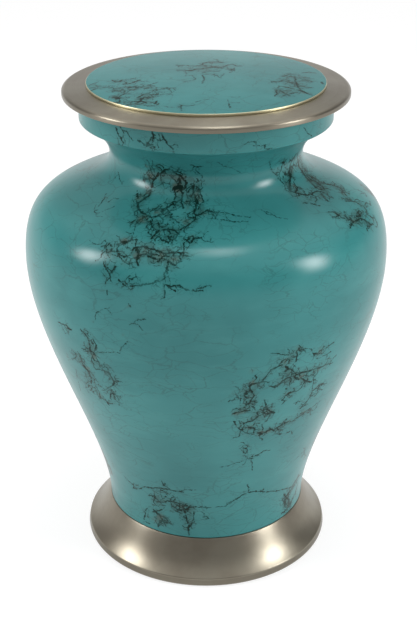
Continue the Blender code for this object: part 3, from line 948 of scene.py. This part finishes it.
def mark_veins(mesh, bits):
    """Tells each face its nearest bits of vein and each corner how deep in the veins' stain it lies."""
    bits = [(Vector(a) * 1000.0, Vector(b) * 1000.0, width) for a, b, width in bits]
    centres = vectors(mesh.polygons, "center") * 1000.0
    seen = outer(centres, vectors(mesh.polygons, "normal"))
    starts = np.full((NEAR_VEINS, len(centres), 3), 1000.0)
    runs = np.zeros((NEAR_VEINS, len(centres), 3))
    runs[:, :, 0] = 1.0
    widths = np.zeros((NEAR_VEINS, len(centres)))
    ranks = [0] * len(centres)
    for i, _, k in sorted(near_bits(centres, bits, 3.5)):
        rank = ranks[i]
        if rank < NEAR_VEINS and seen[i]:
            start, end, width = bits[k]
            starts[rank, i] = start
            runs[rank, i] = end - start
            widths[rank, i] = width
            ranks[i] = rank + 1
    for rank in range(NEAR_VEINS):
        put_attribute(mesh, f"vein_{rank}_start", "FLOAT_VECTOR", "FACE", starts[rank])
        put_attribute(mesh, f"vein_{rank}_run", "FLOAT_VECTOR", "FACE", runs[rank])
        put_attribute(mesh, f"vein_{rank}_width", "FLOAT", "FACE", widths[rank])
    corners = vectors(mesh.vertices, "co") * 1000.0
    stain = np.zeros(len(corners))
    for i, gap, k in near_bits(corners, bits, 8.0):
        strength = min(bits[k][2] / 1.6, 1.0)
        stain[i] += strength * math.exp(-((max(gap, 0.0) / 3.0) ** 2)) * 0.14
    stain *= outer(corners, vectors(mesh.vertex_normals, "vector"))
    put_attribute(mesh, "stain", "FLOAT", "POINT", np.minimum(stain, 1.0))


def foot_outline(shape):
    """The flared skirt with its lip, its standing ring and the flange under the vessel."""
    radius, height = FOOT_HIGH.x, FOOT_HIGH.z
    lip_top = (radius - shape.lip_draft, shape.lip_height)
    joint = (shape.joint_radius, height)
    flare = bezier(
        lip_top,
        toward(lip_top, math.pi - shape.flare_low, shape.flare_low_handle),
        toward(joint, -shape.flare_high, shape.flare_high_handle),
        joint,
        28,
    )
    lip_edge = arc((radius - shape.lip_round, shape.lip_round), shape.lip_round, -math.pi / 2, 0.0, 12)
    ring_inner = radius - shape.ring_width
    flange_under = height - shape.foot_wall
    flange_hole = shape.joint_radius - shape.flange_width
    lining = inset(flare, shape.foot_wall)
    under = [point for point in lining if point[1] < flange_under and point[0] < ring_inner]
    top = [(flange_hole, height), (flange_hole, flange_under), (lining[-1][0], flange_under)]
    inner = [*reversed(under), (ring_inner, shape.lip_height), (ring_inner, 0.0)]
    outline = [*top, *inner, *lip_edge, *flare]
    count = len(outline)
    ring = len(top) + len(inner) - 1
    first_flare = count - len(flare)
    outline = soften(outline, {0, 1, 2, ring, first_flare, count - 1}, shape.soft_edge * 1.6)
    return [*outline, outline[0]]


def vessel_side(shape):
    """The vessel's outer side from its base up to its rim."""
    base = (shape.joint_radius, VESSEL_LOW.z)
    belly = (VESSEL_HIGH.x, base[1] + shape.belly_rise)
    shoulder = (shape.shoulder_radius, belly[1] + shape.shoulder_rise)
    neck = (shape.neck_radius, shoulder[1] + shape.neck_rise)
    up = math.pi / 2
    base_handle = toward(base, up, shape.base_handle)
    body = bezier(base, base_handle, toward(belly, -up, shape.belly_under), belly, 84)
    outer_handle = toward(shoulder, -shape.shoulder_slope, shape.shoulder_out)
    shoulder_round = bezier(belly, toward(belly, up, shape.belly_over), outer_handle, shoulder, 32)
    inner_handle = toward(shoulder, math.pi - shape.shoulder_slope, shape.shoulder_in)
    neck_curve = bezier(shoulder, inner_handle, toward(neck, -up, shape.neck_handle), neck, 24)
    edge_centre = (shape.collar_radius - shape.collar_edge, neck[1] + shape.cove_rise)
    edge = arc(edge_centre, shape.collar_edge, shape.cove_slope - up, 0.0, 6)
    edge_handle = toward(edge[0], math.pi + shape.cove_slope, shape.cove_end)
    cove = bezier(neck, toward(neck, up, shape.cove_handle), edge_handle, edge[0], 20)
    hold = (shape.collar_radius, edge_centre[1] + shape.collar_edge)
    rim = (shape.collar_radius, VESSEL_HIGH.z)
    return [*body, *shoulder_round[1:], *neck_curve[1:], *cove[1:], *edge[1:], hold, rim]


def vessel_outline(shape):
    """The wall between the vessel's two sides, with its floor and its flat rim."""
    side = vessel_side(shape)
    floor_top = VESSEL_LOW.z + shape.floor
    coarse = side[::2] if len(side) % 2 else [*side[::2], side[-1]]
    lining = inset(coarse, shape.wall)
    inner = [point for point in reversed(lining) if point[1] > floor_top + shape.wall]
    outline = [(0.0, VESSEL_LOW.z), *side, *inner, (lining[0][0], floor_top), (0.0, floor_top)]
    rounded = soften(outline, {len(side), len(side) + 1, len(outline) - 2}, shape.soft_edge)
    return soften(rounded, {1}, shape.base_edge)


def lid_plate_outline(shape):
    """The plate with its rounded edge and the plain ring that drops into the mouth."""
    seat = VESSEL_HIGH.z + SEAT_GAP
    top = PLATE_HIGH.z
    radius = PLATE_HIGH.x
    plug_outer = shape.collar_radius - shape.wall - shape.plug_gap
    plug_inner = plug_outer - shape.plug_wall
    under = top - shape.plate
    edge_top = (radius - shape.plate_edge, seat + shape.overhang)
    edge_side = (radius, edge_top[1] - shape.plate_drop)
    side_handle = (radius, edge_side[1] + shape.plate_drop / 2)
    top_handle = (edge_top[0] + shape.plate_edge / 2, edge_top[1] - shape.plate_drop / 8)
    edge = bezier(edge_side, side_handle, top_handle, edge_top, 14)
    plug = [(plug_inner, under), (plug_inner, PLATE_LOW.z), (plug_outer, PLATE_LOW.z), (plug_outer, seat)]
    outline = [(0.0, under), *plug, (radius, seat), *edge, (DISC_HIGH.x, top), (0.0, top)]
    return soften(outline, {1, 2, 3, 4, 5, 5 + len(edge), 6 + len(edge)}, shape.soft_edge)


def lid_disc_outline(shape):
    """The disc's flat underside, upright edge and shallow dome."""
    radius = DISC_HIGH.x
    crown = DISC_HIGH.z - DISC_LOW.z - shape.disc_edge
    sphere = (radius**2 + crown**2) / (2 * crown)
    reach = math.asin(radius / sphere)
    centre = (0.0, DISC_HIGH.z - sphere)
    dome = arc(centre, sphere, math.pi / 2 - reach, math.pi / 2, 40)
    under = PLATE_HIGH.z + DISC_LIFT
    outline = [(0.0, under), (radius - shape.disc_draft, under), *dome[:-1], (0.0, DISC_HIGH.z)]
    return soften(outline, {2}, shape.disc_round)


def new_material(name):
    """An empty material, its nodes and the object's own coordinates in millimetres."""
    material = bpy.data.materials.new(name)
    material.use_nodes = True
    nodes = Nodes(material.node_tree)
    place = nodes.add("ShaderNodeTexCoord", out="Object")
    return material, nodes, nodes.vector("SCALE", place, None, None, 1000.0)


def surface(nodes, bump=None, bump_distance=0.00005, **inputs):
    """The material's Principled shader, wired to its output."""
    if bump is not None:
        bumps = {"Strength": 1.0, "Distance": bump_distance, "Height": bump}
        inputs["Normal"] = nodes.add("ShaderNodeBump", None, **bumps)
    shader = nodes.add("ShaderNodeBsdfPrincipled", None, **inputs)
    nodes.add("ShaderNodeOutputMaterial", None, shader)


def noise(nodes, place, scale, detail=2.0, roughness=0.5, out="Fac"):
    """Noise with its features about 1 / scale millimetres across."""
    return nodes.add(
        "ShaderNodeTexNoise", {"noise_dimensions": "3D"}, Vector=place, Scale=scale, Detail=detail,
        Roughness=roughness, out=out
    )


def enamel_colour(nodes, place, finish):
    """The clouded turquoise of the enamel."""
    clouds = noise(nodes, place, 0.018, 3.0, 0.55)
    flat = nodes.vector("MULTIPLY", place, (1.0, 1.0, 3.2))
    streaks = noise(nodes, flat, 0.035, 4.0, 0.6)
    colour = nodes.mix(nodes.step(clouds, 0.35, 0.65), tuple(finish.deep), tuple(finish.turquoise))
    return nodes.mix(nodes.step(streaks, 0.45, 0.75, 0.0, 0.35), colour, tuple(finish.pale))


def attribute(nodes, name, out):
    """An attribute of the mesh, as a Vector or as a number, Fac."""
    return nodes.add("ShaderNodeAttribute", {"attribute_name": name}, out=out)


def warped(nodes, place, scale, most):
    """The place pushed about by noise, by up to about half of most in millimetres."""
    push = noise(nodes, place, scale, 2.0, 0.6, out="Color")
    push = nodes.vector("SUBTRACT", push, (0.5, 0.5, 0.5))
    return nodes.vector("ADD", place, nodes.vector("SCALE", push, None, None, most))


def gap_share(nodes, out, run):
    """How far along a bit of vein its nearest point lies, from 0 to 1."""
    reach = nodes.dot(out, run)
    return reach.maths("DIVIDE", reach, nodes.dot(run, run), clamp=True)


def vein_gap(nodes, place):
    """How far a place lies outside the nearest vein, in millimetres."""
    gap = None
    for rank in range(NEAR_VEINS):
        run = attribute(nodes, f"vein_{rank}_run", "Vector")
        out = nodes.vector("SUBTRACT", place, attribute(nodes, f"vein_{rank}_start", "Vector"))
        share = gap_share(nodes, out, run)
        away = nodes.vector("SUBTRACT", out, nodes.vector("SCALE", run, None, None, share))
        away = nodes.length(away) - attribute(nodes, f"vein_{rank}_width", "Fac") * 0.27
        gap = away if gap is None else gap.maths("MINIMUM", gap, away)
    return gap


def cracks(nodes, place, scale, width):
    """Thin lines between cells about 1 / scale millimetres across."""
    edge = nodes.add("ShaderNodeTexVoronoi", {"feature": "DISTANCE_TO_EDGE"}, Vector=place, Scale=scale)
    return nodes.step(edge, 0.0, width, 1.0, 0.0)


def smoke_depth(nodes, place):
    """How deep a place lies in the stain of the veins."""
    clouds = nodes.step(noise(nodes, place, 0.22, 3.0, 0.7), 0.30, 0.70, 0.25, 1.35)
    return attribute(nodes, "stain", "Fac") * clouds


def smudge_depth(nodes, jagged):
    """How deep a place lies in a brown smudge."""
    blotch = nodes.step(noise(nodes, jagged, 0.45, 3.0, 0.7), 0.25, 0.65, 0.35, 1.25)
    return attribute(nodes, "smudge", "Fac") * blotch


def crackle(nodes, place):
    """Faint cracks between level cells of two sizes, in patches."""
    level = nodes.vector("MULTIPLY", warped(nodes, place, 0.04, 16.0), (1.0, 1.0, 2.6))
    level = warped(nodes, level, 0.35, 3.0)
    wide = cracks(nodes, level, 0.050, 0.026) * nodes.step(noise(nodes, place, 0.03), 0.40, 0.58)
    hair = cracks(nodes, level, 0.110, 0.040) * nodes.step(noise(nodes, place, 0.05), 0.46, 0.62)
    return wide.maths("MAXIMUM", wide, hair)


def fine_net(nodes, place, jagged, depth):
    """Dark lines between small cells where the stain is deep, in patches."""
    net = cracks(nodes, jagged, 0.30, 0.085) * nodes.step(depth, 0.08, 0.36)
    return net * nodes.step(noise(nodes, place, 0.30), 0.38, 0.52)


def vein_ink(nodes, place, jagged):
    """How dark the veins are at a place, from 0 to 1."""
    fray = (noise(nodes, place, 0.60, 2.0, 0.7) - 0.5) * 0.60
    strength = nodes.step(noise(nodes, place, 0.16), 0.34, 0.56, 0.62, 1.0)
    return nodes.step(vein_gap(nodes, jagged) + fray, -0.06, 0.36, 1.0, 0.0) * strength


def enamel(name, finish, bare=None):
    """Gloss enamel with dark veins, their stain and a faint crackle under the lacquer."""
    material, nodes, place = new_material(name)
    jagged = warped(nodes, warped(nodes, warped(nodes, place, 0.20, 1.4), 0.60, 1.7), 1.7, 0.8)
    smoke = smoke_depth(nodes, place)
    smudge = smudge_depth(nodes, jagged)
    depth = smoke.maths("MAXIMUM", smoke, smudge)
    ink = vein_ink(nodes, place, jagged)
    colour = enamel_colour(nodes, place, finish)
    for amount, tone in (
        (nodes.step(smoke, 0.10, 0.90, 0.0, 0.62), finish.smoke),
        (nodes.step(smudge, 0.05, 0.80, 0.0, 0.88), finish.smudge),
        (crackle(nodes, place) * 0.42, finish.smoke),
        (fine_net(nodes, place, jagged, depth) * 0.82, finish.vein),
        (ink, finish.vein),
    ):
        colour = nodes.mix(amount, colour, tuple(tone))

    satin = 0.30
    coat = (1.0 - ink * 0.8) * finish.gloss
    inputs = {"Base_Color": colour, "Roughness": satin, "Coat_Weight": coat, "Metallic": 0.0}
    if bare is not None:
        metal = bare(nodes, place)
        inputs["Base_Color"] = nodes.mix(metal, colour, tuple(finish.brass))
        inputs["Roughness"] = satin + metal * 0.06
        inputs["Coat_Weight"] = (1.0 - metal) * coat
        inputs["Metallic"] = metal
    ripple = noise(nodes, place, 0.12)
    coating = {"Specular_IOR_Level": finish.sheen, "Coat_Roughness": 0.18, "Coat_IOR": 1.65}
    surface(nodes, ripple, 0.00006, **coating, **inputs)
    return material


def apart(nodes, place):
    """The three coordinates of a place."""
    parts = nodes.tree.nodes.new("ShaderNodeSeparateXYZ")
    nodes.tree.links.new(place.socket, parts.inputs[0])
    return [Wire(nodes, parts.outputs[i]) for i in range(3)]


def from_axis(nodes, place):
    """How far a place lies from the urn's axis."""
    return nodes.length(nodes.vector("MULTIPLY", place, (1.0, 1.0, 0.0)))


def pewter(name, finish, shade, anisotropy, roughness, edge_shade):
    """Satin metal with fine turning lines, its tones scaled by shade (below 1, painted shade) and darker
    where the mask says so (painted shade on the upright edges).
    """
    material, nodes, place = new_material(name)
    x, y, z = apart(nodes, place)
    ring = nodes.add("ShaderNodeCombineXYZ", None, from_axis(nodes, place) * 3.0, z * 3.0, x * 0.03)
    lines = noise(nodes, ring, 1.0, 3.0, 0.65)
    patches = noise(nodes, place, 0.05, 3.0, 0.6)
    tones = (finish.pewter, finish.pewter_dark, finish.pewter_edge_shade)
    # shade scales every tone; below 1 it is painted shade
    light, dark, edge_shade_tone = ([part * shade for part in tone] for tone in tones)
    colour = nodes.mix(nodes.step(patches, 0.35, 0.7), dark, light)
    # Painted shade: the upright edges take the darker pewter tone
    colour = nodes.mix(edge_shade(nodes, place), colour, edge_shade_tone)
    rough = nodes.step(lines, 0.3, 0.7, -0.03, 0.03) + roughness
    surface(
        nodes, lines, 0.000012, Base_Color=colour, Metallic=1.0, Roughness=rough, Anisotropic=anisotropy,
        Anisotropic_Rotation=0.25
    )
    return material


class URN_OT_foot(bpy.types.Operator):
    """Turns the flared pewter foot"""

    bl_idname = "urn.foot"
    bl_label = "Foot"

    def execute(self, context):
        scene = context.scene
        lip_top = (scene.urn_shape.lip_height - 0.0002) * 1000.0

        # Painted shade: the foot's upright lip turns mostly to the darker pewter below its top
        def edge_shade(nodes, place):
            height = apart(nodes, place)[2]
            return nodes.step(height, lip_top - 0.6, lip_top - 0.2, 0.75, 0.0)

        # Painted shade: the foot's pewter is the lid's pewter scaled to 0.80, which dims its reflections
        material = pewter("Foot pewter", scene.urn_finish, 0.80, 0.30, 0.34, edge_shade)
        turn("urn_foot", foot_outline(scene.urn_shape), material, "foot")
        return {"FINISHED"}


class URN_OT_vessel(bpy.types.Operator):
    """Turns the hollow enamelled vessel"""

    bl_idname = "urn.vessel"
    bl_label = "Vessel"

    def execute(self, context):
        scene = context.scene
        material = enamel("Vessel enamel", scene.urn_finish)
        back = wandering(vessel_side(scene.urn_shape), BODY_BACK_PATCHES, 4)

        def veins(skin):
            return [bit for group in VESSEL_VEINS for bit in traced(skin, group)] + back

        def smudges(skin):
            spots = [spot for group in VESSEL_SMUDGES for spot in smudged(skin, group)]
            return spots + [(start, 0.0022, 0.6) for start, _, _ in back[::12]]

        outline = vessel_outline(scene.urn_shape)
        turn("urn_vessel", outline, material, "vessel", veins, smudges)
        return {"FINISHED"}


class URN_OT_lid_plate(bpy.types.Operator):
    """Turns the pewter lid plate with the ring that drops into the mouth"""

    bl_idname = "urn.lid_plate"
    bl_label = "Lid plate"

    def execute(self, context):
        scene = context.scene
        edge_top = (VESSEL_HIGH.z + SEAT_GAP + scene.urn_shape.overhang) * 1000.0

        # Painted shade: the plate's rounded edge and upright side turn to the darker pewter below the edge's
        # top
        def edge_shade(nodes, place):
            height = apart(nodes, place)[2]
            return nodes.step(height, edge_top - 0.7, edge_top, 1.0, 0.0)

        material = pewter("Lid pewter", scene.urn_finish, 1.0, 0.75, 0.36, edge_shade)
        turn("urn_lid_plate", lid_plate_outline(scene.urn_shape), material, "lid_plate")
        return {"FINISHED"}


class URN_OT_lid_disc(bpy.types.Operator):
    """Turns the domed disc on the lid"""

    bl_idname = "urn.lid_disc"
    bl_label = "Lid disc"

    def execute(self, context):
        scene = context.scene
        edge_top = DISC_LOW.z + scene.urn_shape.disc_edge

        def bare(nodes, place):
            height = apart(nodes, place)[2]
            return nodes.step(height, edge_top * 1000.0 - 0.10, edge_top * 1000.0 + 0.02, 1.0, 0.0)

        material = enamel("Disc enamel", scene.urn_finish, bare)

        def veins(skin):
            return traced(skin, DOME_VEINS, 1.6)

        def smudges(skin):
            return smudged(skin, DOME_SMUDGES)

        outline = lid_disc_outline(scene.urn_shape)
        turn("urn_lid_disc", outline, material, "lid_disc", veins, smudges)
        return {"FINISHED"}


def softbox(name, azimuth, elevation, distance, width, height, radiance, target=(0.0, 0.0, 0.14)):
    """A soft light that faces the urn, brightest in its middle. Azimuth 0 is the camera's side."""
    light = bpy.data.lights.new(name, "AREA")
    light.shape = "RECTANGLE"
    light.size = width
    light.size_y = height
    light.energy = math.pi * width * height
    light.use_nodes = True
    nodes = Nodes(light.node_tree)
    across, along, _ = apart(nodes, nodes.add("ShaderNodeNewGeometry", out="Parametric"))
    fade = 1.0
    for place in (across, along):
        fade = fade * nodes.step(place, 0.0, 0.5) * nodes.step(place, 0.5, 1.0, 1.0, 0.0)
    glow = nodes.add("ShaderNodeEmission", None, Color=(1.0, 1.0, 1.0, 1.0), Strength=fade * radiance)
    nodes.add("ShaderNodeOutputLight", None, glow)
    lamp = bpy.data.objects.new(name, light)
    bpy.context.scene.collection.objects.link(lamp)
    side, rise = math.radians(azimuth), math.radians(elevation)
    away = Vector((math.sin(side) * math.cos(rise), -math.cos(side) * math.cos(rise), math.sin(rise)))
    level = Vector((0.0, 0.0, 1.0)).cross(away) if rise < 1.2 else Vector((1.0, 0.0, 0.0))
    level = (level - away * level.dot(away)).normalized()
    lamp.location = Vector(target) + away * distance
    lamp.rotation_euler = Matrix((level, away.cross(level), away)).transposed().to_euler()


def pale_floor(studio):
    """A wide level floor, a hair below the foot, with a little light of its own."""
    mesh = bpy.data.meshes.new("floor")
    reach = 6.0
    corners = [(-reach, -reach, 0), (reach, -reach, 0), (reach, reach, 0), (-reach, reach, 0)]
    mesh.from_pydata(corners, [], [(0, 1, 2, 3)])
    floor = bpy.data.objects.new("floor", mesh)
    bpy.context.scene.collection.objects.link(floor)
    floor.location.z = -0.0002
    material = bpy.data.materials.new("Pale floor")
    material.use_nodes = True
    shader = material.node_tree.nodes["Principled BSDF"]
    shader.inputs["Base Color"].default_value = (*studio.floor_colour, 1.0)
    shader.inputs["Roughness"].default_value = 0.9
    shader.inputs["Specular IOR Level"].default_value = 0.0
    shader.inputs["Emission Color"].default_value = (1.0, 1.0, 1.0, 1.0)
    shader.inputs["Emission Strength"].default_value = studio.floor_glow
    mesh.materials.append(material)
    return floor


def studio_walls():
    """A plain world: lightest at the horizon, above and behind the urn, and darker high on the right."""
    world = bpy.data.worlds.new("studio")
    world.use_nodes = True
    nodes = Nodes(world.node_tree)
    right, back, up = apart(nodes, nodes.add("ShaderNodeTexCoord", out="Generated"))
    side = right.maths("ABSOLUTE", right)
    flanks = nodes.step(side, 0.2, 0.8) * nodes.step(up, 0.40, 0.80)
    above = nodes.step(up, 0.35, 0.95) * 0.68 + flanks * 0.35
    behind = nodes.step(back, 0.0, 0.95) * (0.23 + nodes.step(up, 0.10, 0.40, 0.16, 0.0))
    level = nodes.step(up, 0.02, 0.24, 0.45, 0.0)
    shade = nodes.step(right, 0.35, 0.90) * nodes.step(up, 0.2, 0.7, 0.18, 0.0)
    glow = 0.19 + level + behind + above - shade
    sky = nodes.add("ShaderNodeBackground", None, Color=(1.0, 1.0, 1.0, 1.0), Strength=glow)
    nodes.add("ShaderNodeOutputWorld", None, sky)
    return world


def photo_camera(studio):
    """A camera that looks down on the urn as the photograph's does."""
    lens = bpy.data.cameras.new("camera")
    lens.sensor_width = 36.0
    lens.lens = studio.focal_pixels / PHOTO_HEIGHT * lens.sensor_width
    lens.shift_x = (PHOTO_WIDTH / 2 - AXIS_COLUMN) / PHOTO_HEIGHT
    camera = bpy.data.objects.new("camera", lens)
    bpy.context.scene.collection.objects.link(camera)
    camera.location = (0.0, -studio.camera_distance, studio.camera_height)
    camera.rotation_euler = (math.pi / 2 - studio.camera_tilt, 0.0, 0.0)
    return camera


class URN_OT_studio(bpy.types.Operator):
    """Sets up the floor, the lights and the camera"""

    bl_idname = "urn.studio"
    bl_label = "Studio"

    def execute(self, context):
        scene = context.scene
        studio = scene.urn_studio
        pale_floor(studio)
        softbox("left_light", -80, 28, 1.1, 0.48, 0.74, studio.left_light)
        softbox("right_light", 70, 23, 1.1, 0.50, 0.78, studio.right_light)
        softbox("top_light", 90, 85, 1.1, 0.50, 0.75, studio.top_light, (0.0, 0.0, 0.2))
        scene.world = studio_walls()
        scene.camera = photo_camera(studio)
        scene.view_settings.view_transform = "Standard"
        return {"FINISHED"}


class URN_PT_panel(bpy.types.Panel):
    """Lists the urn's pieces and their values"""

    bl_idname = "URN_PT_panel"
    bl_label = "Funeral urn"
    bl_space_type = "VIEW_3D"
    bl_region_type = "UI"
    bl_category = "Urn"

    def draw(self, context):
        for operator in PIECES:
            self.layout.operator(operator.bl_idname)
        for group in (context.scene.urn_shape, context.scene.urn_finish, context.scene.urn_studio):
            column = self.layout.column(align=True)
            for name in group.bl_rna.properties.keys():
                if name not in ("rna_type", "name"):
                    column.prop(group, name)


PIECES = (URN_OT_foot, URN_OT_vessel, URN_OT_lid_plate, URN_OT_lid_disc, URN_OT_studio)
CLASSES = (UrnShape, UrnFinish, UrnStudio, *PIECES, URN_PT_panel)


def register():
    """Adds the values, the operators and the panel."""
    for entry in CLASSES:
        bpy.utils.register_class(entry)
    bpy.types.Scene.urn_shape = bpy.props.PointerProperty(type=UrnShape)
    bpy.types.Scene.urn_finish = bpy.props.PointerProperty(type=UrnFinish)
    bpy.types.Scene.urn_studio = bpy.props.PointerProperty(type=UrnStudio)


def unregister():
    """Takes them away again."""
    del bpy.types.Scene.urn_shape
    del bpy.types.Scene.urn_finish
    del bpy.types.Scene.urn_studio
    for entry in reversed(CLASSES):
        bpy.utils.unregister_class(entry)


def main():
    """Builds every piece and the studio."""
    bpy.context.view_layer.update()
    register()
    bpy.ops.urn.foot()
    bpy.ops.urn.vessel()
    bpy.ops.urn.lid_plate()
    bpy.ops.urn.lid_disc()
    bpy.ops.urn.studio()


if __name__ == "__main__":
    main()
